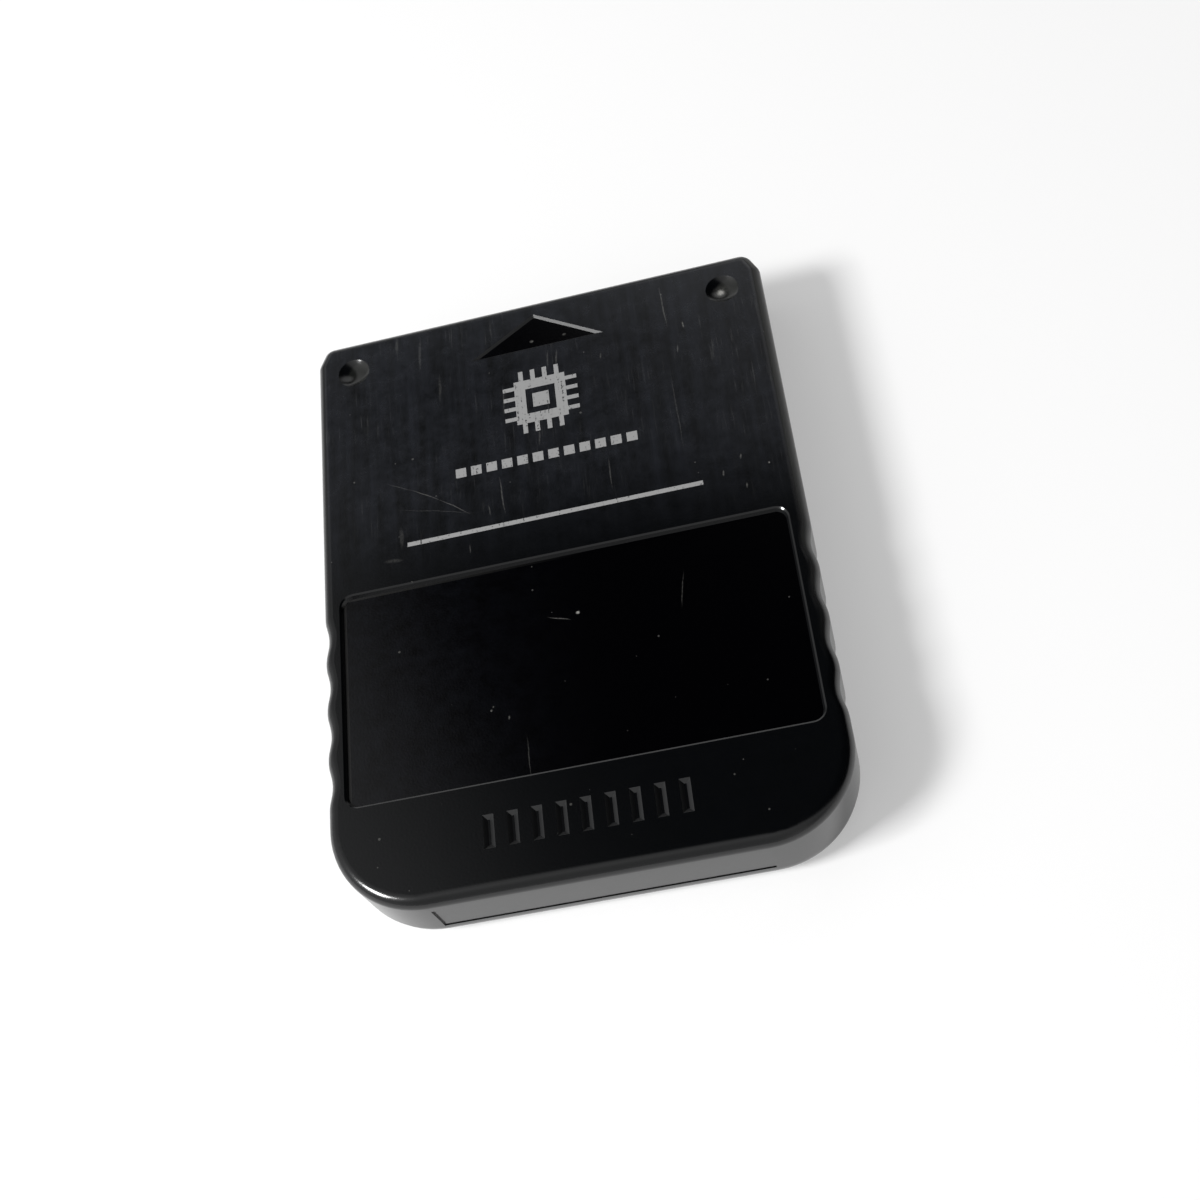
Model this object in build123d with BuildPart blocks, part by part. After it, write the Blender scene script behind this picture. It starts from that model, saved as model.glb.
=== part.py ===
from build123d import *
import os
from math import atan, degrees, radians, sin, tan

# A console memory card, in millimetres. It lies on its back: +Z out of the label face, +Y towards the
# connector end, +X to the right. The origin is the centre of the back face.

# Outline of the card
card_width = 42.0
card_length = 56.0
card_thickness = 8.0
handle_corner_radius = 7.7
lead_in_across = 0.9
lead_in_along = 1.9
lead_in_blend = 1.2

# Scalloped grips, counted from the round corner at the handle end
grip_count = 4
grip_pitch = 4.46
grip_depth = 0.3
grip_gap = 1.55

# Shells
back_shell_height = 2.4
back_inset = 0.1
side_wall = 1.5
face_wall = 1.6
back_wall = 1.2
front_edge_radius = 1.0
back_edge_radius = 2.0
cavity_end_radius = 1.0
lip_wall = 0.8
lip_height = 0.8
lip_clearance = 0.1

# Marks moulded into the front face
label_side_margin = 1.65
label_length = 19.5
label_from_handle = 9.05
label_depth = 0.4
label_corner_radius = 1.1
label_wall_slope = 26.5
arrow_width = 12.4
arrow_height = 3.8
arrow_from_end = 1.7
arrow_depth = 0.2
arrow_wall_slope = 46.0
detent_radius = 1.5
detent_depth = 0.45
detent_from_side = 3.6
detent_from_end = 3.7
thumb_notch_count = 9
thumb_notch_width = 0.9
thumb_notch_length = 2.8
thumb_notch_pitch = 1.95
thumb_notch_depth = 0.25
thumb_notch_wall_slope = 55.0
thumb_notch_from_handle = 5.0
rim_chamfer = 0.1

# Index label recess in the handle end
index_top_gap = 1.7
index_depth = 0.17

# Contacts and the window that shows them
contact_width = 2.0
contact_length = 6.0
contact_thickness = 0.1
contact_pitch = 2.9
contact_inset = 0.4
bay_margin = 0.7
window_rib = 1.0
window_frame = 1.0
window_margin = 0.4
tongue_setback = 1.2

# Circuit board and the posts that clamp it
board_thickness = 1.2
board_clearance = 0.3
post_side = 3.0
post_inset = 2.6
peg_radius = 0.8
peg_clearance = 0.1
headroom_gap = 0.2

# Packages on the board
package_standoff = 0.1
package_chamfer = 0.2
package_gap = 1.0
mark_radius = 0.5
mark_depth = 0.1
mark_inset = 1.3
lead_thickness = 0.15
controller_side = 10.0
controller_height = 1.6
controller_lead_pitch = 0.8
controller_leads_a_side = 11
controller_lead_width = 0.35
controller_overhang = 1.4
memory_width = 11.2
memory_length = 20.6
memory_height = 1.9
memory_lead_pitch = 1.27
memory_leads_a_side = 16
memory_lead_width = 0.42
memory_overhang = 1.3
resonator_length = 7.2
resonator_width = 3.4
resonator_height = 1.8
smoothing_length = 2.8
smoothing_width = 3.5
smoothing_height = 1.9
chip_count = 4
chip_length = 2.0
chip_width = 1.25
chip_terminal = 0.4
chip_plating = 0.03
chip_pitch = 3.2
capacitor_height = 0.85
resistor_height = 0.55

# Worked-out places and sizes
half_width = card_width / 2
half_length = card_length / 2
corner_start = handle_corner_radius - half_length
grip_end = corner_start + grip_gap
grip_start = grip_end + grip_count * grip_pitch
grip_turn = 2 * degrees(atan(2 * grip_depth / grip_pitch))
grip_radius = grip_pitch / (4 * sin(radians(grip_turn)))
cavity_width = card_width - 2 * side_wall
cavity_length = card_length - 2 * side_wall
inner_face = card_thickness - face_wall
tallest_package = max(
    package_standoff + controller_height,
    package_standoff + memory_height,
    resonator_height,
    smoothing_height,
    capacitor_height,
    resistor_height,
)
board_top = inner_face - headroom_gap - tallest_package
board_bottom = board_top - board_thickness
side_bay = 2 * contact_pitch + contact_width + 2 * bay_margin
middle_bay = contact_pitch + contact_width + 2 * bay_margin
window_width = 2 * side_bay + middle_bay + 2 * window_rib
window_depth = tongue_setback + contact_inset + contact_length + window_margin
rib_place = (middle_bay + window_rib) / 2
side_bay_place = rib_place + (window_rib + side_bay) / 2
shoulder = half_length - window_depth - window_frame
board_end = corner_start + board_clearance
board_width = cavity_width - 2 * (lip_clearance + lip_wall + board_clearance)
board_middle = (shoulder + board_end) / 2
tongue_width = window_width - 2 * board_clearance
tongue_end = half_length - tongue_setback
post_across = board_width / 2 - post_inset
post_low = board_end + post_inset
post_high = shoulder - post_inset
peg_places = [(-post_across, post_high), (post_across, post_low)]
post_places = peg_places + [(post_across, post_high), (-post_across, post_low)]
peg_bottom = (board_bottom + back_wall) / 2
index_width = card_width - 2 * handle_corner_radius
notch_wall = thumb_notch_depth * tan(radians(thumb_notch_wall_slope))
dish_radius = (detent_radius**2 + detent_depth**2) / (2 * detent_depth)


# The card seen from the front: lead-in corners, scalloped sides and a round handle end
grip_turns = [-grip_turn] + [2 * grip_turn, -2 * grip_turn] * grip_count
grip_turns[-1] = -grip_turn
with BuildSketch() as card_outline:
    with BuildLine():
        connector_edge = Line((0, half_length), (half_width - lead_in_across, half_length))
        lead_in = Line(connector_edge @ 1, (half_width, half_length - lead_in_along))
        grip = Line(lead_in @ 1, (half_width, grip_start))
        for turn in grip_turns:
            grip = JernArc(grip @ 1, grip % 1, grip_radius, turn)
        flank = Line(grip @ 1, (half_width, corner_start))
        corner = JernArc(flank @ 1, flank % 1, handle_corner_radius, -90)
        Line(corner @ 1, (0, -half_length))
        mirror(about=Plane.YZ)
    make_face()

# The room inside the walls
with BuildSketch() as cavity_outline:
    Rectangle(cavity_width, cavity_length)
    fillet(cavity_outline.vertices().group_by(Axis.Y)[0], handle_corner_radius - side_wall)
    fillet(cavity_outline.vertices().group_by(Axis.Y)[-1], cavity_end_radius)


# Front shell: the face, the walls down to the joint, and the posts that press on the board
with BuildPart() as front_shell:
    with BuildSketch(Plane.XY.offset(back_shell_height)):
        add(card_outline.sketch)
    extrude(amount=card_thickness - back_shell_height)
    lead_in_edges = front_shell.edges().filter_by(Axis.Z).filter_by_position(
        Axis.Y, half_length - lead_in_along, half_length
    )
    fillet(lead_in_edges, lead_in_blend)
    fillet(front_shell.faces().sort_by(Axis.Z)[-1].edges(), front_edge_radius)

    # Hollow inside, with a notch over the contacts
    with BuildSketch(Plane.XY.offset(back_shell_height)):
        add(cavity_outline.sketch)
    extrude(amount=inner_face - back_shell_height, mode=Mode.SUBTRACT)
    with BuildSketch(Plane.XY.offset(back_shell_height)):
        with Locations((0, half_length - side_wall / 2)):
            Rectangle(window_width, 2 * side_wall)
    extrude(amount=board_top + board_clearance - back_shell_height, mode=Mode.SUBTRACT)

    # Square posts, two of them with a peg
    with BuildSketch(Plane.XY.offset(board_top)):
        with Locations(post_places):
            Rectangle(post_side, post_side)
    extrude(amount=inner_face - board_top)
    with BuildSketch(Plane.XY.offset(peg_bottom)):
        with Locations(peg_places):
            Circle(peg_radius)
    extrude(amount=board_top - peg_bottom)

    # Label recess, with sloping walls and a softened rim
    with BuildSketch(Plane.XY.offset(card_thickness)):
        with Locations((0, label_from_handle + label_length / 2 - half_length)):
            RectangleRounded(card_width - 2 * label_side_margin, label_length, label_corner_radius)
    extrude(amount=-label_depth, taper=label_wall_slope, mode=Mode.SUBTRACT)
    label_rim = front_shell.faces().sort_by(Axis.Z)[-1].inner_wires()[0]
    chamfer(label_rim.edges(), rim_chamfer)

    # Thumb notches near the handle end, with sloping walls
    with Locations((0, thumb_notch_from_handle - half_length, card_thickness - thumb_notch_depth / 2)):
        with GridLocations(thumb_notch_pitch, 0, thumb_notch_count, 1):
            Wedge(
                thumb_notch_width,
                thumb_notch_depth,
                thumb_notch_length,
                notch_wall,
                notch_wall,
                thumb_notch_width - notch_wall,
                thumb_notch_length - notch_wall,
                rotation=(-90, 0, 0),
                mode=Mode.SUBTRACT,
            )

    # Insertion arrow, with crisp rims
    with BuildSketch(Plane.XY.offset(card_thickness)):
        with BuildLine():
            arrow_tip = half_length - arrow_from_end
            Polyline(
                (0, arrow_tip),
                (arrow_width / 2, arrow_tip - arrow_height),
                (-arrow_width / 2, arrow_tip - arrow_height),
                close=True,
            )
        make_face()
    extrude(amount=-arrow_depth, taper=arrow_wall_slope, mode=Mode.SUBTRACT)

    # Dished detents, that the slot's springs drop into
    with Locations((0, half_length - detent_from_end, card_thickness - detent_depth + dish_radius)):
        with GridLocations(card_width - 2 * detent_from_side, 0, 2, 1):
            Sphere(dish_radius, rotation=(90, 0, 0), mode=Mode.SUBTRACT)

    # Index label recess in the handle end
    with BuildSketch(Plane.XZ.offset(half_length)):
        with Locations((0, back_shell_height)):
            Rectangle(
                index_width,
                card_thickness - index_top_gap - back_shell_height,
                align=(Align.CENTER, Align.MIN),
            )
    extrude(amount=-index_depth, mode=Mode.SUBTRACT)
front_shell.part.label = "front_shell"


# Back shell: a shallow tray with the contact window, the lip and the peg sockets
with BuildPart() as back_shell:
    with BuildSketch():
        add(card_outline.sketch)
        offset(amount=-back_inset, kind=Kind.INTERSECTION, mode=Mode.REPLACE)
    extrude(amount=back_shell_height)
    back_round = min(back_edge_radius, back_shell_height - rim_chamfer)
    fillet(back_shell.faces().sort_by(Axis.Z)[0].edges(), back_round)

    # Hollow above the back wall, with a lip that stands up inside the front shell
    with BuildSketch(Plane.XY.offset(back_wall)):
        add(cavity_outline.sketch)
        offset(amount=-lip_clearance, mode=Mode.REPLACE)
    extrude(amount=back_shell_height + lip_height - back_wall)
    with BuildSketch(Plane.XY.offset(back_wall)):
        add(cavity_outline.sketch)
        offset(amount=-(lip_clearance + lip_wall), mode=Mode.REPLACE)
    extrude(amount=back_shell_height + lip_height - back_wall, mode=Mode.SUBTRACT)

    # Frame round the contact window, up to the board
    with BuildSketch():
        with Locations((0, shoulder)):
            Rectangle(
                window_width + 2 * window_frame,
                window_depth + window_frame - side_wall,
                align=(Align.CENTER, Align.MIN),
            )
    extrude(amount=board_bottom)
    with BuildSketch():
        with Locations((0, half_length - window_depth)):
            Rectangle(window_width, window_depth, align=(Align.CENTER, Align.MIN))
    extrude(amount=max(board_bottom, back_shell_height + lip_height), mode=Mode.SUBTRACT)

    # Ribs that divide the contacts three, two and three
    with BuildSketch():
        with Locations((0, half_length - window_depth)):
            with Locations((-rib_place, 0), (rib_place, 0)):
                Rectangle(window_rib, window_depth - tongue_setback, align=(Align.CENTER, Align.MIN))
    extrude(amount=board_bottom)

    # Square pillars under the board, two of them bored for the pegs
    with BuildSketch(Plane.XY.offset(back_wall)):
        with Locations(post_places):
            Rectangle(post_side, post_side)
    extrude(amount=board_bottom - back_wall)
    with BuildSketch(Plane.XY.offset(back_wall)):
        with Locations(peg_places):
            Circle(peg_radius + peg_clearance)
    extrude(amount=board_bottom - back_wall, mode=Mode.SUBTRACT)
back_shell.part.label = "back_shell"


# Circuit board: a wide body with a tongue that carries the contacts
with BuildPart() as circuit_board:
    with BuildSketch(Plane.XY.offset(board_bottom)):
        with Locations((0, board_end)):
            Rectangle(board_width, shoulder - board_end, align=(Align.CENTER, Align.MIN))
        with Locations((0, shoulder)):
            Rectangle(tongue_width, tongue_end - shoulder, align=(Align.CENTER, Align.MIN))
        with Locations(peg_places):
            Circle(peg_radius + peg_clearance, mode=Mode.SUBTRACT)
    extrude(amount=board_thickness)
circuit_board.part.label = "circuit_board"

pieces = [front_shell.part, back_shell.part, circuit_board.part]


# Gold-plated contacts on the underside of the tongue
contact_places = [
    bay + step * contact_pitch
    for bay, steps in (
        (-side_bay_place, (-1, 0, 1)),
        (0, (-0.5, 0.5)),
        (side_bay_place, (-1, 0, 1)),
    )
    for step in steps
]
for number, place in enumerate(contact_places, start=1):
    with BuildPart() as contact:
        with BuildSketch(Plane.XY.offset(board_bottom - contact_thickness)):
            with Locations((place, tongue_end - contact_inset - contact_length / 2)):
                Rectangle(contact_width, contact_length)
        extrude(amount=contact_thickness)
    contact.part.label = f"contact_{number}"
    pieces.append(contact.part)


def gull_lead(width, overhang, height):
    """One formed lead that leaves a package at the origin along +Y and ends in a foot, height below."""
    knee = overhang * 0.25
    heel = overhang * 0.5
    with BuildPart() as lead:
        with BuildSketch(Plane.YZ):
            with BuildLine():
                Polyline(
                    (0, 0),
                    (knee, 0),
                    (heel, lead_thickness - height),
                    (overhang, lead_thickness - height),
                    (overhang, -height),
                    (heel - lead_thickness, -height),
                    (knee - lead_thickness, -lead_thickness),
                    (0, -lead_thickness),
                    close=True,
                )
            make_face()
        extrude(amount=width / 2, both=True)
    return lead.part


def package_body(centre, size_x, size_y, height):
    """A moulded chip body with chamfered upper edges and a round mark over its first lead."""
    with BuildPart() as body:
        with BuildSketch(Plane.XY.offset(board_top + package_standoff)):
            with Locations(centre):
                Rectangle(size_x, size_y)
        extrude(amount=height)
        chamfer(body.faces().sort_by(Axis.Z)[-1].edges(), package_chamfer)
        with BuildSketch(Plane.XY.offset(board_top + package_standoff + height)):
            with Locations((centre[0] - size_x / 2 + mark_inset, centre[1] + size_y / 2 - mark_inset)):
                Circle(mark_radius)
        extrude(amount=-mark_depth, mode=Mode.SUBTRACT)
    return body.part


# Memory package, left of the middle, with leads on its two long sides
memory_centre = (-package_gap / 2 - memory_overhang - memory_width / 2, board_middle)
memory_chip = package_body(memory_centre, memory_width, memory_length, memory_height)
memory_chip.label = "memory_chip"
memory_lead_height = package_standoff + memory_height / 2
memory_lead = gull_lead(memory_lead_width, memory_overhang, memory_lead_height)
with BuildPart() as memory_leads:
    for side in (-1, 1):
        for step in range(memory_leads_a_side):
            along = (step - (memory_leads_a_side - 1) / 2) * memory_lead_pitch
            place = (memory_centre[0] + side * memory_width / 2, memory_centre[1] + along)
            with Locations(Location((*place, board_top + memory_lead_height), (0, 0, -90 * side))):
                add(memory_lead)
memory_leads.part.label = "memory_leads"

# Controller package, right of the middle, with leads on all four sides
controller_reach = controller_side / 2 + controller_overhang
controller_centre = (package_gap / 2 + controller_reach, board_middle - controller_reach + package_gap)
controller_chip = package_body(controller_centre, controller_side, controller_side, controller_height)
controller_chip.label = "controller_chip"
controller_lead_height = package_standoff + controller_height / 2
controller_lead = gull_lead(controller_lead_width, controller_overhang, controller_lead_height)
with BuildPart() as controller_leads:
    for turn in range(4):
        for step in range(controller_leads_a_side):
            along = (step - (controller_leads_a_side - 1) / 2) * controller_lead_pitch
            frame = Plane((*controller_centre, board_top + controller_lead_height)).rotated((0, 0, 90 * turn))
            with Locations(frame.location * Location((along, controller_side / 2, 0))):
                add(controller_lead)
controller_leads.part.label = "controller_leads"
pieces += [memory_chip, memory_leads.part, controller_chip, controller_leads.part]


def moulded_block(label, centre, length, width, height):
    """A small moulded component that stands on the board, with chamfered upper edges."""
    with BuildPart() as block:
        with BuildSketch(Plane.XY.offset(board_top)):
            with Locations(centre):
                Rectangle(length, width)
        extrude(amount=height)
        chamfer(block.faces().sort_by(Axis.Z)[-1].edges(), package_chamfer)
    block.part.label = label
    return block.part


# Clock resonator and supply capacitor, in a row above the controller
row_width = resonator_length + package_gap + smoothing_length
row_left = controller_centre[0] - row_width / 2
row_place = controller_centre[1] + controller_reach + package_gap + max(resonator_width, smoothing_width) / 2
resonator_centre = (row_left + resonator_length / 2, row_place)
smoothing_centre = (row_left + row_width - smoothing_length / 2, row_place)
pieces.append(
    moulded_block("resonator", resonator_centre, resonator_length, resonator_width, resonator_height)
)
pieces.append(
    moulded_block("smoothing_capacitor", smoothing_centre, smoothing_length, smoothing_width, smoothing_height)
)


def chip_component(label, centre, height):
    """A two-terminal chip component: a flat core with plated ends that stand a little proud of it."""
    with BuildPart() as chip:
        with BuildSketch(Plane.XY.offset(board_top)):
            with Locations(centre):
                Rectangle(chip_width, chip_length)
        extrude(amount=height)
        with BuildSketch(Plane.XY.offset(board_top)):
            with Locations(centre):
                with GridLocations(0, chip_length - chip_terminal, 1, 2):
                    Rectangle(chip_width + 2 * chip_plating, chip_terminal)
        extrude(amount=height + chip_plating)
    chip.part.label = label
    return chip.part


# Chip capacitors and chip resistors, in two rows above the resonator
capacitor_row = row_place + max(resonator_width, smoothing_width) / 2 + package_gap + chip_length / 2
resistor_row = capacitor_row + chip_length + package_gap
for number in range(1, chip_count + 1):
    across = controller_centre[0] + (number - (chip_count + 1) / 2) * chip_pitch
    pieces.append(chip_component(f"capacitor_{number}", (across, capacitor_row), capacitor_height))
    pieces.append(chip_component(f"resistor_{number}", (across, resistor_row), resistor_height))


os.makedirs("parts", exist_ok=True)
for piece in pieces:
    export_step(piece, f"parts/{piece.label}.step")
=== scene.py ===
from functools import partial
from math import radians

import bmesh
import bpy
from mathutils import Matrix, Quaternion, Vector


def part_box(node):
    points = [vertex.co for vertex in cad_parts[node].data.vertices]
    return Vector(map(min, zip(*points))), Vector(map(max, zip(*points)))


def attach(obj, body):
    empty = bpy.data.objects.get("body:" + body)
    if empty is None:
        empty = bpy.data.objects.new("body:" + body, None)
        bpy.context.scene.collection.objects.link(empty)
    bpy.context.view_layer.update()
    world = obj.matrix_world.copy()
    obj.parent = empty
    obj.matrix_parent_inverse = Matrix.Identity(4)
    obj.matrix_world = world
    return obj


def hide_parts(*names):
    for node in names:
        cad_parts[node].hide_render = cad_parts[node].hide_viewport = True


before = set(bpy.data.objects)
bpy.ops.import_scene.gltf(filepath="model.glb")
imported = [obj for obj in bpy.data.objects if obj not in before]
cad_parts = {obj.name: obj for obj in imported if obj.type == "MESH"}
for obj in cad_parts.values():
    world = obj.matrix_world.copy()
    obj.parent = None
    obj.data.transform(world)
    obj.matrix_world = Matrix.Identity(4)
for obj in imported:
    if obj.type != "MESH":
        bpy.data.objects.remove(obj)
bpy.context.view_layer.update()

# Sizes are in millimetres, as on the real card, and become metres in the meshes
MM = 0.001

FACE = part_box("front_shell")[1].z / MM


def linear(code):
    """An sRGB hex colour as the linear values that a shader takes."""
    parts = [int(code[i:i + 2], 16) / 255 for i in (1, 3, 5)]
    return [p / 12.92 if p <= 0.04045 else ((p + 0.055) / 1.055) ** 2.4 for p in parts] + [1.0]


def add_node(tree, kind, sockets, output=0, **settings):
    """A node with its settings, fixed values and links from other outputs. Gives back one of its outputs."""
    node = tree.nodes.new("ShaderNode" + kind)
    for name, value in settings.items():
        setattr(node, name, value)
    for key, value in sockets.items():
        if isinstance(value, bpy.types.NodeSocket):
            tree.links.new(value, node.inputs[key])
        else:
            node.inputs[key].default_value = value
    return node.outputs[output] if node.outputs else None


def new_material(name):
    """An empty material, and the function that adds a node to it."""
    material = bpy.data.materials.new(name)
    material.use_nodes = True
    material.node_tree.nodes.clear()
    return material, partial(add_node, material.node_tree)


# In the masks below a Map Range goes from 0 to 1 between its inputs 1 and 2, and its input 4 is another mask
# or a strength that it is multiplied by. A Math node set to COMPARE is 1 where its first input lies within
# its third of its second.

# Plain printed marks: a chip sign with pins, a row of squares and a thin rule
CHIP_CENTRE = (-0.1, 16.7)
CHIP_CORE = 0.75
CHIP_HOLE = 1.35
CHIP_BODY = 2.35
CHIP_REACH = 3.4
PIN_PITCH = 1.1
PIN_WIDTH = 0.42
PIN_SPAN = 2.2
BLOCK_ROW = (-0.2, 10.6)
BLOCK_PITCH = 1.4
BLOCK_SIZE = 0.95
BLOCK_SPAN = 8.4
RULE_ROW = (-0.1, 4.4)
RULE_SPAN = 13.0
RULE_WIDTH = 0.42


def printed_marks(add, x, y):
    """A mask of the ink. The chip sign is drawn in one eighth, by its distance from the centre along
    each axis."""
    from_chip = [
        add("Math", {0: add("Math", {0: axis, 1: centre}, operation="SUBTRACT")}, operation="ABSOLUTE")
        for axis, centre in zip((x, y), CHIP_CENTRE)
    ]
    outer = add("Math", {0: from_chip[0], 1: from_chip[1]}, operation="MAXIMUM")
    inner = add("Math", {0: from_chip[0], 1: from_chip[1]}, operation="MINIMUM")
    core = add("Math", {0: outer, 1: 0.0, 2: CHIP_CORE}, operation="COMPARE")
    body_middle, body_half = (CHIP_BODY + CHIP_HOLE) / 2, (CHIP_BODY - CHIP_HOLE) / 2
    body = add("Math", {0: outer, 1: body_middle, 2: body_half}, operation="COMPARE")
    pin_middle, pin_half = (CHIP_REACH + CHIP_BODY) / 2, (CHIP_REACH - CHIP_BODY) / 2
    pin_zone = add("Math", {0: outer, 1: pin_middle, 2: pin_half}, operation="COMPARE")
    pin_row = add("Math", {0: inner, 1: 0.0, 2: PIN_SPAN}, operation="COMPARE")
    pin_step = add("Math", {0: inner, 1: PIN_PITCH / 2}, operation="SUBTRACT")
    from_pin = add("Math", {0: pin_step, 1: PIN_PITCH / 2}, operation="PINGPONG")
    pin = add("Math", {0: from_pin, 1: 0.0, 2: PIN_WIDTH / 2}, operation="COMPARE")
    pin_place = add("Math", {0: pin_zone, 1: pin_row}, operation="MULTIPLY")
    pins = add("Math", {0: pin, 1: pin_place}, operation="MULTIPLY")

    block_step = add("Math", {0: x, 1: BLOCK_ROW[0] + BLOCK_PITCH / 2}, operation="SUBTRACT")
    from_block = add("Math", {0: block_step, 1: BLOCK_PITCH / 2}, operation="PINGPONG")
    block = add("Math", {0: from_block, 1: 0.0, 2: BLOCK_SIZE / 2}, operation="COMPARE")
    block_row = add("Math", {0: x, 1: BLOCK_ROW[0], 2: BLOCK_SPAN}, operation="COMPARE")
    block_line = add("Math", {0: y, 1: BLOCK_ROW[1], 2: BLOCK_SIZE / 2}, operation="COMPARE")
    in_row = add("Math", {0: block_row, 1: block_line}, operation="MULTIPLY")
    blocks = add("Math", {0: block, 1: in_row}, operation="MULTIPLY")

    rule_row = add("Math", {0: x, 1: RULE_ROW[0], 2: RULE_SPAN}, operation="COMPARE")
    rule_line = add("Math", {0: y, 1: RULE_ROW[1], 2: RULE_WIDTH / 2}, operation="COMPARE")
    rule = add("Math", {0: rule_row, 1: rule_line}, operation="MULTIPLY")

    ink = core
    for mark in (body, pins, blocks, rule):
        ink = add("Math", {0: ink, 1: mark}, operation="MAXIMUM")
    return ink


# Flat part of the face, short of its rounded lower corners, and the deepest that a recess in it goes
FACE_HALF_WIDTH = 19.6
FACE_HALF_LENGTH = 26.6
CORNER_REACH = 42.5
RECESS_LIMIT = 0.6

# Arrow, edges of the label floor, top of the thumb notches, and the dishes with the dust in them, which sits
# to the right so that the left of each dish stays black as painted shade
ARROW_HALF_WIDTH = 8.0
LABEL_LEFT = -19.15
LABEL_TOP = 0.35
NOTCH_TOP = -20.0
DISH_ACROSS = 17.4
DISH_ALONG = 24.2
DISH_REACH = 1.9
DUST_SHIFT_FOR_SHADE = 0.5
DUST_RADIUS = 1.3
DUST_CORE = 1.1

# Sizes of the surface's patterns, across and along where they run the way the card is pushed in
GRAIN_SIZE = 0.2
GRAIN_DEPTH = 0.008
GRAIN_STRENGTH = 0.35
HAZE_SIZE = 1.4
PATCH_SIZE = 5.0
SCUFF_SIZE = (0.2, 4.0)
SMEAR_SIZE = (0.9, 14.0)
SPECK_SPACING = 1.1
SPECK_RADIUS = 0.11

# Roughness of the surface's parts, and the plastic's refraction
SATIN_LOW = 0.22
SATIN_HIGH = 0.29
LOWER_FACE = 0.17
OUTER_WALL = 0.2
RECESS_WALL = 0.42
LABEL_WALL = 0.15
DISH_WALL = 0.22
RIGHT_EDGE_ROUGHNESS = 0.5
FLAT_BACK = 0.27
LABEL_FLOOR = 0.13
INK = 0.6
ABS_IOR = 1.54

# How far the marks are bent, over what length
BEND = 0.25
BEND_LENGTH = 1.5

# Scratches, hairs, specks and a painted highlight in the right dish: centre, direction in degrees, half
# length, half width and strength
MARKS = (
    ((11.9, 23.8), -88, 2.6, 0.09, 0.12),
    ((13.4, 21.3), -87, 0.4, 0.09, 0.30),
    ((12.6, 18.8), -98, 0.5, 0.08, 0.15),
    ((11.7, 12.2), -89, 4.6, 0.07, 0.06),
    ((-13.1, 26.3), -92, 1.1, 0.20, 0.06),
    ((-11.0, 24.6), -93, 2.1, 0.16, 0.06),
    ((-9.3, 20.3), -93, 1.7, 0.16, 0.05),
    ((-3.5, 17.2), -94, 1.6, 0.10, 0.08),
    ((-0.6, 12.6), -95, 1.0, 0.10, 0.08),
    ((0.9, 20.8), -95, 1.2, 0.10, 0.08),
    ((1.7, 20.8), -95, 1.1, 0.10, 0.10),
    ((5.7, 19.9), -96, 0.4, 0.10, 0.10),
    ((5.2, 7.3), -90, 1.8, 0.07, 0.10),
    ((-13.6, 5.2), -90, 1.2, 0.22, 0.05),
    ((-14.4, 3.1), -6, 0.9, 0.25, 0.05),
    ((-4.4, 7.4), -86, 2.1, 0.08, 0.14),
    ((-5.6, 6.1), -84, 0.6, 0.06, 0.12),
    ((-7.6, 2.7), -94, 0.5, 0.06, 0.10),
    ((-13.5, 10.5), -29, 1.5, 0.05, 0.08),
    ((-11.2, 9.1), -34, 1.8, 0.06, 0.16),
    ((-8.7, 7.3), -38, 2.0, 0.06, 0.16),
    ((-10.4, 7.2), -16, 4.2, 0.05, 0.06),
    ((14.7, 4.9), -98, 0.3, 0.10, 0.20),
    ((16.4, 6.2), -99, 0.3, 0.10, 0.18),
    ((16.5, 3.2), -99, 0.3, 0.10, 0.15),
    ((18.6, 5.0), 0, 0.1, 0.10, 0.40),
    ((-0.6, -5.5), -18, 1.1, 0.06, 0.20),
    ((9.8, -5.1), -100, 1.8, 0.06, 0.08),
    ((-4.2, -17.3), -89, 2.1, 0.06, 0.08),
    ((1.0, -5.3), 0, 0.2, 0.15, 0.80),
    ((-6.9, -12.6), 0, 0.1, 0.12, 0.30),
    ((-5.5, -13.5), 0, 0.1, 0.22, 0.20),
    ((-12.9, 0.6), 0, 0.1, 0.10, 0.40),
    ((-0.4, 23.4), 0, 0.2, 0.18, 0.25),
    ((2.6, 23.4), 0, 0.2, 0.16, 0.15),
    # A painted highlight in the right dish: a soft halo and a bright core
    ((17.2, 24.2), 40, 1.0, 0.8, 0.08),
    ((17.2, 24.2), 40, 0.45, 0.4, 0.75),
)


def scratches_and_highlight(add, spot):
    """A mask of all the marks: each is a small tapered stroke, bent a little so that none is straight."""
    sway = add("TexNoise", {"Vector": spot, "Scale": 1 / BEND_LENGTH}, "Color")
    bent = add("VectorMath", {0: sway, 1: (BEND, BEND, 0.0), 2: spot}, operation="MULTIPLY_ADD")
    total = 0.0
    for (x, y), turn, half_length, half_width, strength in MARKS:
        local = add(
            "Mapping",
            {
                "Vector": bent,
                "Location": (x + BEND / 2, y + BEND / 2, 0.0),
                "Rotation": (0.0, 0.0, radians(turn)),
                "Scale": (half_length, half_width, 1000.0),
            },
            vector_type="TEXTURE",
        )
        reach = add("VectorMath", {0: local}, 1, operation="LENGTH")
        stroke = add("MapRange", {0: reach, 1: 1.0, 2: 0.4, 4: strength})
        total = add("Math", {0: total, 1: stroke}, operation="MAXIMUM")
    return total


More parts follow.
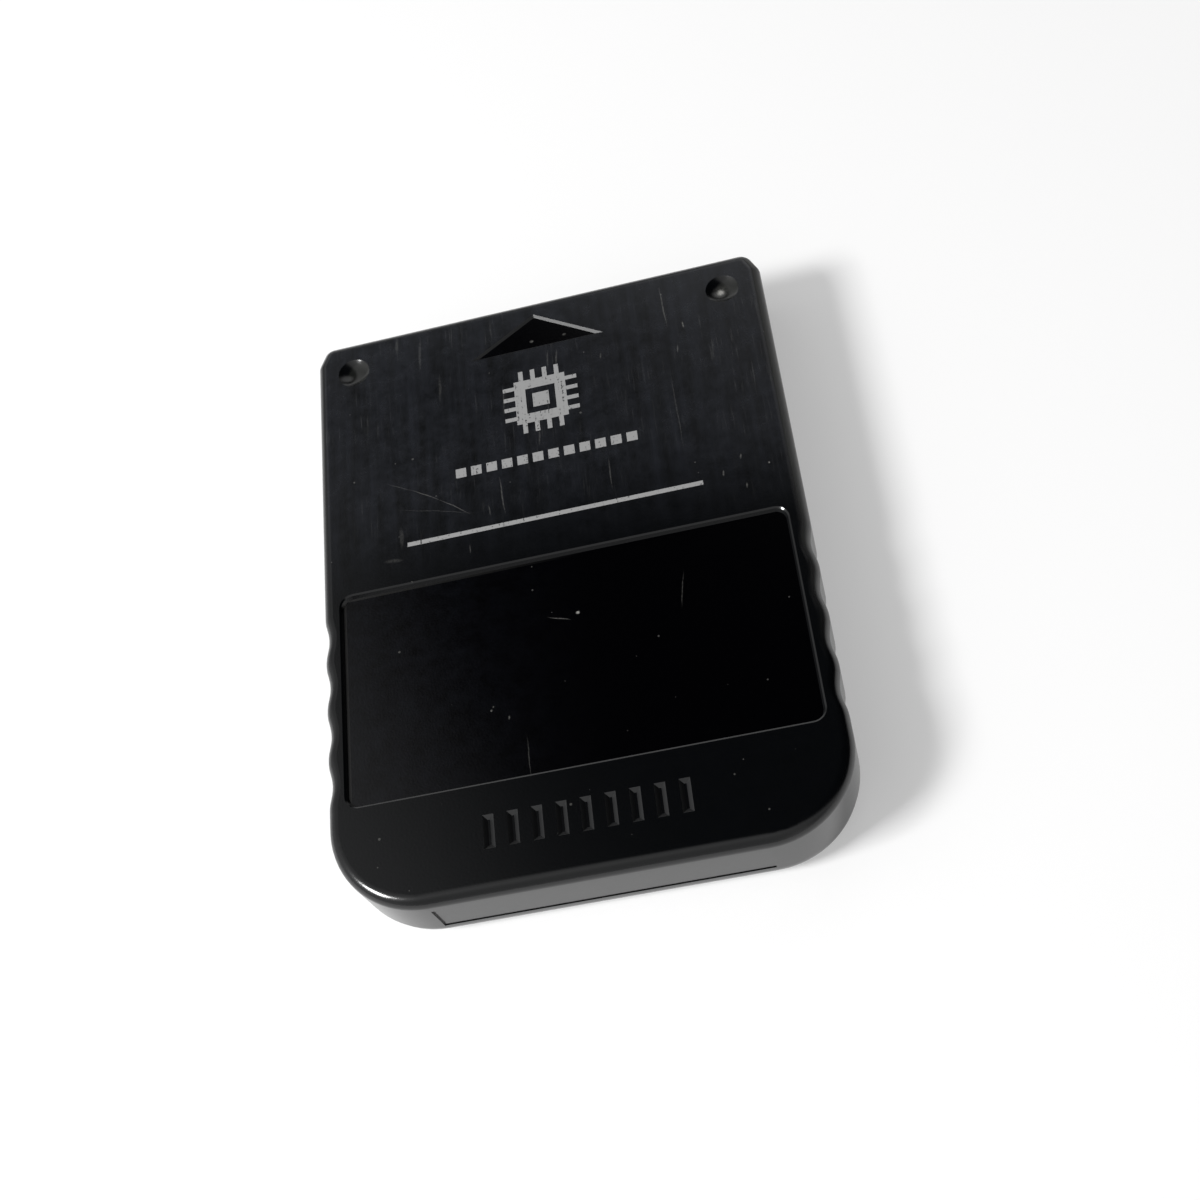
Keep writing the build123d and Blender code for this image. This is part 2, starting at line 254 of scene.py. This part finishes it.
def black_abs():
    """Black ABS from a spark-eroded mould: deep black with a satin grain, smoother walls that mirror the
    table, a smooth black label floor, grey pad-printed marks, and the scuffs and dust of years of use. A
    painted sheen lies on the upper half of the face, along its top and on the left of the label floor; the
    left of each dish is kept black as painted shade; and a painted highlight sits in the right dish."""
    material, add = new_material("abs_moulded_satin_black")
    place = add("TexCoord", {}, "Object")
    spot = add("Mapping", {"Vector": place, "Scale": (1 / MM, 1 / MM, 1 / MM)})
    x, y, z = (add("SeparateXYZ", {0: spot}, axis) for axis in "XYZ")
    tilt = add("SeparateXYZ", {0: add("TexCoord", {}, "Normal")}, "Z")
    level = add("MapRange", {0: tilt, 1: 0.85, 2: 0.97})
    on_face = add("MapRange", {0: z, 1: FACE - 0.06, 2: FACE - 0.03, 4: level})
    above_notches = add("Math", {0: y, 1: NOTCH_TOP}, operation="GREATER_THAN")
    floors = add("Math", {0: above_notches, 1: level}, operation="MULTIPLY")
    deep = add("MapRange", {0: z, 1: FACE - 0.1, 2: FACE - 0.18, 4: floors})
    in_label = add("Math", {0: y, 1: LABEL_TOP + 0.5}, operation="LESS_THAN")
    in_arrow = add("Math", {0: x, 1: 0.0, 2: ARROW_HALF_WIDTH}, operation="COMPARE")
    polished = add("Math", {0: in_label, 1: in_arrow}, operation="MAXIMUM")
    sunk = add("Math", {0: deep, 1: polished}, operation="MULTIPLY")
    across_face = add("Math", {0: x, 1: 0.0, 2: FACE_HALF_WIDTH}, operation="COMPARE")
    along_face = add("Math", {0: y, 1: 0.0, 2: FACE_HALF_LENGTH}, operation="COMPARE")
    from_middle = add("Math", {0: x}, operation="ABSOLUTE")
    to_corner = add("Math", {0: from_middle, 1: y}, operation="SUBTRACT")
    short_of_corner = add("Math", {0: to_corner, 1: CORNER_REACH}, operation="LESS_THAN")
    in_outline = add("Math", {0: across_face, 1: along_face}, operation="MULTIPLY")
    near_face = add("Math", {0: z, 1: FACE - RECESS_LIMIT}, operation="GREATER_THAN")
    in_corners = add("Math", {0: in_outline, 1: short_of_corner}, operation="MULTIPLY")
    inside = add("Math", {0: in_corners, 1: near_face}, operation="MULTIPLY")
    label_part = add("Math", {0: in_label, 1: above_notches}, operation="MULTIPLY")
    label_walls = add("Math", {0: inside, 1: label_part}, operation="MULTIPLY")
    near_side = add("Math", {0: from_middle, 1: DISH_ACROSS, 2: DISH_REACH}, operation="COMPARE")
    near_top = add("Math", {0: y, 1: DISH_ALONG, 2: DISH_REACH}, operation="COMPARE")
    in_dish = add("Math", {0: near_side, 1: near_top}, operation="MULTIPLY")
    dishes = add("Math", {0: in_dish, 1: inside}, operation="MULTIPLY")
    flat_back = add("MapRange", {0: tilt, 1: -0.85, 2: -0.97})

    # Fine grain, blotches of haze and rubbing, and scuffs and smears that run the way the card is pushed in;
    # the haze and smears also make a painted sheen on the upper half of the face
    grain = add("TexNoise", {"Vector": spot, "Scale": 1 / GRAIN_SIZE, "Detail": 3.0})
    haze = add("TexNoise", {"Vector": spot, "Scale": 1 / HAZE_SIZE, "Detail": 8.0, "Roughness": 0.75})
    patch = add("TexNoise", {"Vector": spot, "Scale": 1 / PATCH_SIZE, "Detail": 3.0})
    drawn, wiped = (
        add("Mapping", {"Vector": place, "Scale": (1 / (across * MM), 1 / (along * MM), 1 / MM)})
        for across, along in (SCUFF_SIZE, SMEAR_SIZE)
    )
    run = add("TexNoise", {"Vector": drawn, "Scale": 1.0, "Detail": 4.0, "Roughness": 0.6})
    smear = add("TexNoise", {"Vector": wiped, "Scale": 1.0, "Detail": 3.0})
    upper_half = add("MapRange", {0: y, 1: 0.0, 2: 9.0, 4: on_face})
    rubbed = add("MapRange", {0: patch, 1: 0.42, 2: 0.7, 4: upper_half})
    scuffs = add("MapRange", {0: run, 1: 0.57, 2: 0.8, 4: rubbed})
    smudge_and_sheen = add("Math", {0: haze, 1: smear}, operation="ADD")

    # Specks of dust, most of them left out, each of its own size
    chance, cell = (
        add("TexVoronoi", {"Vector": spot, "Scale": 1 / SPECK_SPACING}, output)
        for output in ("Color", "Distance")
    )
    speck_size = add("MapRange", {0: chance, 1: 0.55, 2: 0.9, 4: SPECK_RADIUS})
    speck_edge = add("Math", {0: speck_size, 1: cell}, operation="SUBTRACT")
    specks = add("MapRange", {0: speck_edge, 1: 0.0, 2: 0.03, 4: level})

    # Dust lies in the dished detents, set to the right so that the left side of each dish stays black as
    # painted shade. A painted sheen lies thinly on the left of the label floor, lighter towards the left, and
    # dust lies along two of the floor's edges
    side = add("Math", {0: x}, operation="SIGN")
    from_dish = add("Math", {0: side, 1: -DISH_ACROSS, 2: x}, operation="MULTIPLY_ADD")
    dish_spot = add("CombineXYZ", {0: from_dish, 1: y, 2: z})
    dust_centre = (DUST_SHIFT_FOR_SHADE, DISH_ALONG, FACE)
    dust_reach = add("VectorMath", {0: dish_spot, 1: dust_centre}, 1, operation="DISTANCE")
    below_face = add("MapRange", {0: z, 1: FACE - 0.02, 2: FACE - 0.06})
    dish_dust_and_shade = add("MapRange", {0: dust_reach, 1: DUST_RADIUS, 2: DUST_CORE, 4: below_face})
    left_edge = add("Math", {0: x, 1: LABEL_LEFT + 0.1, 2: 0.1}, operation="COMPARE")
    top_edge = add("Math", {0: y, 1: LABEL_TOP - 0.1, 2: 0.1}, operation="COMPARE")
    label_edge = add("Math", {0: left_edge, 1: top_edge}, operation="MAXIMUM")
    left_half = add("MapRange", {0: x, 1: 2.0, 2: -15.0, 4: sunk})
    edge_dust = add("Math", {0: label_edge, 1: left_half}, operation="MULTIPLY")
    # A painted sheen on the label floor, stronger towards the left
    label_left_sheen = add("MapRange", {0: haze, 1: 0.35, 2: 0.75, 4: left_half})

    # The rounded edge on the right is lighter and rougher from the middle towards the top
    off_face = add("Math", {0: 1.0, 1: inside}, operation="SUBTRACT")
    turned = add("MapRange", {0: tilt, 1: 1.0, 2: 0.92, 4: off_face})
    rounded = add("MapRange", {0: tilt, 1: 0.15, 2: 0.5, 4: turned})
    right_side = add("MapRange", {0: x, 1: 16.0, 2: 20.0, 4: rounded})
    right_edge_pale = add("MapRange", {0: y, 1: -14.0, 2: 6.0, 4: right_side})

    broken = add("MapRange", {0: grain, 1: 0.3, 2: 0.6, 3: 0.3, 4: level})
    marks = add("Math", {0: scratches_and_highlight(add, spot), 1: broken}, operation="MULTIPLY")
    worn = add("Math", {0: run, 1: grain}, operation="MULTIPLY")
    flaked = add("MapRange", {0: worn, 1: 0.38, 2: 0.32, 4: on_face})
    ink = add("Math", {0: printed_marks(add, x, y), 1: flaked}, operation="MULTIPLY")

    tone = add("Mix", {0: haze, 6: linear("#030405"), 7: linear("#07080a")}, 2, data_type="RGBA")
    tone = add("Mix", {0: sunk, 6: tone, 7: linear("#010102")}, 2, data_type="RGBA")
    for mask, strength, colour in (
        # a cloudy film on the upper half of the face, which is also a painted sheen there
        (add("MapRange", {0: smudge_and_sheen, 1: 0.7, 2: 1.3, 4: upper_half}), 0.028, "#949cb4"),
        # the rounded right edge, lighter from the middle towards the top
        (right_edge_pale, 0.12, "#989896"),
        # painted sheen along the top of the face, lighter towards the top edge
        (add("MapRange", {0: y, 1: 21.0, 2: 28.0, 4: on_face}), 0.02, "#a0a4aa"),
        (scuffs, 0.12, "#a6a6a4"),
        (ink, 1.0, "#949494"),
        # dust in the dishes, kept off their left sides as painted shade
        (dish_dust_and_shade, 0.03, "#8c8e84"),
        # painted sheen on the left of the label floor
        (label_left_sheen, 0.012, "#949cb4"),
        (edge_dust, 0.05, "#8c8b86"),
        (specks, 0.12, "#b4b3ae"),
        # scratches, specks and the painted highlight in the right dish
        (marks, 1.0, "#b4b3ae"),
    ):
        share = add("Math", {0: mask, 1: strength}, operation="MULTIPLY")
        tone = add("Mix", {0: share, 6: tone, 7: linear(colour)}, 2, data_type="RGBA")

    satin = add("MapRange", {0: haze, 1: 0.3, 2: 0.7, 3: SATIN_LOW, 4: SATIN_HIGH})
    satin = add("Mix", {0: upper_half, 2: LOWER_FACE, 3: satin}, data_type="FLOAT")
    rough = OUTER_WALL
    for mask, value in (
        (inside, RECESS_WALL),
        (label_walls, LABEL_WALL),
        (dishes, DISH_WALL),
        (right_edge_pale, RIGHT_EDGE_ROUGHNESS),
        (flat_back, FLAT_BACK),
        (level, satin),
        (sunk, LABEL_FLOOR),
        (ink, INK),
    ):
        rough = add("Mix", {0: mask, 2: rough, 3: value}, data_type="FLOAT")
    relief = add("Bump", {"Height": grain, "Distance": GRAIN_DEPTH * MM, "Strength": GRAIN_STRENGTH})
    shader = add("BsdfPrincipled", {"Base Color": tone, "Roughness": rough, "IOR": ABS_IOR, "Normal": relief})
    add("OutputMaterial", {"Surface": shader})
    return material


JOIN_DISTANCE = 0.0005 * MM
FLAT_ANGLE = radians(0.5)
SHARP_ANGLE = radians(22)


def smooth_copy(node, name, material):
    """A copy of a CAD node with its triangles joined, so that rounded edges shade as one surface."""
    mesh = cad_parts[node].data.copy()
    mesh.name = name
    joined = bmesh.new()
    joined.from_mesh(mesh)
    bmesh.ops.remove_doubles(joined, verts=joined.verts, dist=JOIN_DISTANCE)
    bmesh.ops.dissolve_limit(joined, verts=joined.verts, edges=joined.edges, angle_limit=FLAT_ANGLE)
    for face in joined.faces:
        face.smooth = True
    for edge in joined.edges:
        edge.smooth = edge.is_manifold and edge.calc_face_angle() < SHARP_ANGLE
    joined.to_mesh(mesh)
    joined.free()
    mesh.materials.clear()
    mesh.materials.append(material)
    piece = bpy.data.objects.new(name, mesh)
    bpy.context.scene.collection.objects.link(piece)
    weighted = piece.modifiers.new("flat_faces_stay_flat", "WEIGHTED_NORMAL")
    weighted.keep_sharp = True
    weighted.weight = 50
    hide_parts(node)
    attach(piece, "root")
    return piece


abs_black = black_abs()
front_piece = smooth_copy("front_shell", "front_shell_moulding", abs_black)
back_piece = smooth_copy("back_shell", "back_shell_moulding", abs_black)


def plain(name, colour, roughness, metallic=0.0):
    """A material of one colour, for the pieces inside the shells."""
    material, add = new_material(name)
    finish = {"Base Color": linear(colour), "Roughness": roughness, "Metallic": metallic}
    shader = add("BsdfPrincipled", finish)
    add("OutputMaterial", {"Surface": shader})
    return material


TIP_LENGTH = 0.4 * MM


def tipped(name, colour, roughness, sample):
    """A chip component: a plain core between ends of dull tin."""
    low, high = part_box(sample)
    middle, half_core = (low.y + high.y) / 2, (high.y - low.y) / 2 - TIP_LENGTH
    material, add = new_material(name)
    along = add("SeparateXYZ", {0: add("TexCoord", {}, "Object")}, "Y")
    core = add("Math", {0: along, 1: middle, 2: half_core}, operation="COMPARE")
    tone = add("Mix", {0: core, 6: linear("#b4b4b0"), 7: linear(colour)}, 2, data_type="RGBA")
    rough = add("Mix", {0: core, 2: 0.35, 3: roughness}, data_type="FLOAT")
    metal = add("Mix", {0: core, 2: 1.0, 3: 0.0}, data_type="FLOAT")
    shader = add("BsdfPrincipled", {"Base Color": tone, "Roughness": rough, "Metallic": metal})
    add("OutputMaterial", {"Surface": shader})
    return material


# The board with its green mask, gold contacts that shine in the window, dull black packages and tinned leads
gold = plain("gold_plated_copper", "#d8a848", 0.25, 1.0)
epoxy = plain("epoxy_moulded_black", "#161616", 0.5)
tin = plain("tin_plated_leads", "#b8b8b4", 0.35, 1.0)
ceramic = tipped("ceramic_fired_tan", "#b39a74", 0.5, "capacitor_1")
glaze = tipped("resistor_glazed_black", "#18181a", 0.3, "resistor_1")
finishes = {
    "circuit_board": plain("laminate_green_mask", "#1d4a2a", 0.35),
    "controller_chip": epoxy,
    "controller_leads": tin,
    "memory_chip": epoxy,
    "memory_leads": tin,
    "resonator": plain("resonator_dipped_brown", "#8a6a42", 0.4),
    "smoothing_capacitor": plain("tantalum_moulded_yellow", "#c99a2e", 0.45),
}
finishes.update({f"contact_{number}": gold for number in range(1, 9)})
finishes.update({f"capacitor_{number}": ceramic for number in range(1, 5)})
finishes.update({f"resistor_{number}": glaze for number in range(1, 5)})
for node, material in finishes.items():
    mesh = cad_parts[node].data
    mesh.materials.clear()
    mesh.materials.append(material)


# The floor lies a hair below the card's back
FLOOR = -0.02 * MM
WHITE_SHARE = 0.36

# Directions in the room, the light of its parts, and the window
DARK_SIDE = (0.6, 0.52, 0.61)
FRONT_SIDE = (-0.71, -0.71, 0.0)
VIEWER_SIDE = (-0.15, -0.86, 0.49)
BACK_SIDE = (0.15, 0.78, 0.6)
WALL_LIGHT = 0.5
LEFT_LIGHT = 0.25
HORIZON_LIGHT = 0.9
FRONT_LIGHT = 0.65
VIEWER_LIGHT = 0.45
BACK_LIGHT = 0.8
WINDOW_SIDE = (-0.675, -0.266, 0.688)
WINDOW_DISTANCE = 0.6
WINDOW_SIZE = 0.15
WINDOW_WATTS = 3.75


def pale_floor(reach=3.0):
    """A flat white sheet under the card. The camera and mirror rays see it partly as plain white, so that the
    shadow stays light. It is clear from below, where the card's back is looked at."""
    corners = [(x * reach, y * reach, FLOOR) for x, y in ((-1, -1), (1, -1), (1, 1), (-1, 1))]
    mesh = bpy.data.meshes.new("floor")
    mesh.from_pydata(corners, [], [(0, 1, 2, 3)])
    material, add = new_material("matt_white_paper")
    finish = {"Base Color": linear("#ffffff"), "Roughness": 0.9, "Specular IOR Level": 0.1}
    paper = add("BsdfPrincipled", finish)
    white = add("Emission", {"Color": linear("#ffffff"), "Strength": 1.0})
    seen = add("LightPath", {}, "Is Camera Ray")
    mirrored = add("LightPath", {}, "Is Glossy Ray")
    shown = add("Math", {0: seen, 1: mirrored}, operation="MAXIMUM")
    share = add("Math", {0: shown, 1: WHITE_SHARE}, operation="MULTIPLY")
    sheet = add("MixShader", {0: share, 1: paper, 2: white})
    below = add("NewGeometry", {}, "Backfacing")
    add("OutputMaterial", {"Surface": add("MixShader", {0: below, 1: sheet, 2: add("BsdfTransparent", {})})})
    mesh.materials.append(material)
    floor = bpy.data.objects.new("floor", mesh)
    bpy.context.scene.collection.objects.link(floor)


def soft_light(name, direction, distance, size, watts):
    """A square area light that looks at the card from a direction in the card's frame."""
    lamp = bpy.data.lights.new(name, "AREA")
    lamp.size = size
    lamp.energy = watts
    light = bpy.data.objects.new(name, lamp)
    light.location = Vector(direction).normalized() * distance
    light.rotation_euler = light.location.to_track_quat("Z", "Y").to_euler()
    bpy.context.scene.collection.objects.link(light)


def studio():
    """A room with a pale horizon, a lit front and left, a dark ceiling and right side that the black face
    mirrors, a viewer, a lit wall at the back and a soft window on the left. The camera sees it white."""
    world = bpy.data.worlds.new("pale_room")
    world.use_nodes = True
    bpy.context.scene.world = world
    world.node_tree.nodes.clear()
    add = partial(add_node, world.node_tree)
    look = add("TexCoord", {}, "Generated")
    to_dark, to_front, to_viewer, to_back = (
        add("VectorMath", {0: look, 1: side}, 1, operation="DOT_PRODUCT")
        for side in (DARK_SIDE, FRONT_SIDE, VIEWER_SIDE, BACK_SIDE)
    )
    height = add("SeparateXYZ", {0: look}, "Z")
    left = add("MapRange", {0: to_dark, 1: 0.1, 2: 0.45, 3: LEFT_LIGHT, 4: WALL_LIGHT})
    glow = add("MapRange", {0: to_dark, 1: 0.49, 2: 0.635, 3: left, 4: 0.0}, interpolation_type="SMOOTHSTEP")
    glow = add("MapRange", {0: height, 1: 0.04, 2: 0.24, 3: HORIZON_LIGHT, 4: glow})
    glow = add("MapRange", {0: to_front, 1: 0.05, 2: 0.35, 3: glow, 4: FRONT_LIGHT})
    glow = add("MapRange", {0: to_viewer, 1: 0.8, 2: 0.96, 3: glow, 4: VIEWER_LIGHT})
    lit_wall = add("MapRange", {0: to_back, 1: 0.935, 2: 0.985, 3: 0.0, 4: BACK_LIGHT})
    glow = add("Math", {0: glow, 1: lit_wall}, operation="MAXIMUM")
    glow = add("Math", {0: glow, 1: add("LightPath", {}, "Is Camera Ray")}, operation="MAXIMUM")
    add("OutputWorld", {"Surface": add("Background", {"Color": linear("#ffffff"), "Strength": glow})})
    soft_light("window", WINDOW_SIDE, WINDOW_DISTANCE, WINDOW_SIZE, WINDOW_WATTS)


CAMERA_PLACE = Vector((21.12, -69.15, 119.69)) * MM
CAMERA_AIM = Vector((3.0, -4.78, 8.0)) * MM
CAMERA_ROLL = -25.06
FOCAL_LENGTH = 47.67
SENSOR = 36.0


def photo_camera():
    """The camera that was fitted to the photograph."""
    lens = bpy.data.cameras.new("camera")
    lens.sensor_width = SENSOR
    lens.lens = FOCAL_LENGTH
    lens.clip_start = 0.005
    camera = bpy.data.objects.new("camera", lens)
    look = (CAMERA_AIM - CAMERA_PLACE).to_track_quat("-Z", "Y")
    camera.rotation_mode = "QUATERNION"
    camera.rotation_quaternion = look @ Quaternion((0, 0, 1), radians(CAMERA_ROLL))
    camera.location = CAMERA_PLACE
    bpy.context.scene.collection.objects.link(camera)
    bpy.context.scene.camera = camera


pale_floor()
studio()
photo_camera()
bpy.context.scene.view_settings.view_transform = "Standard"
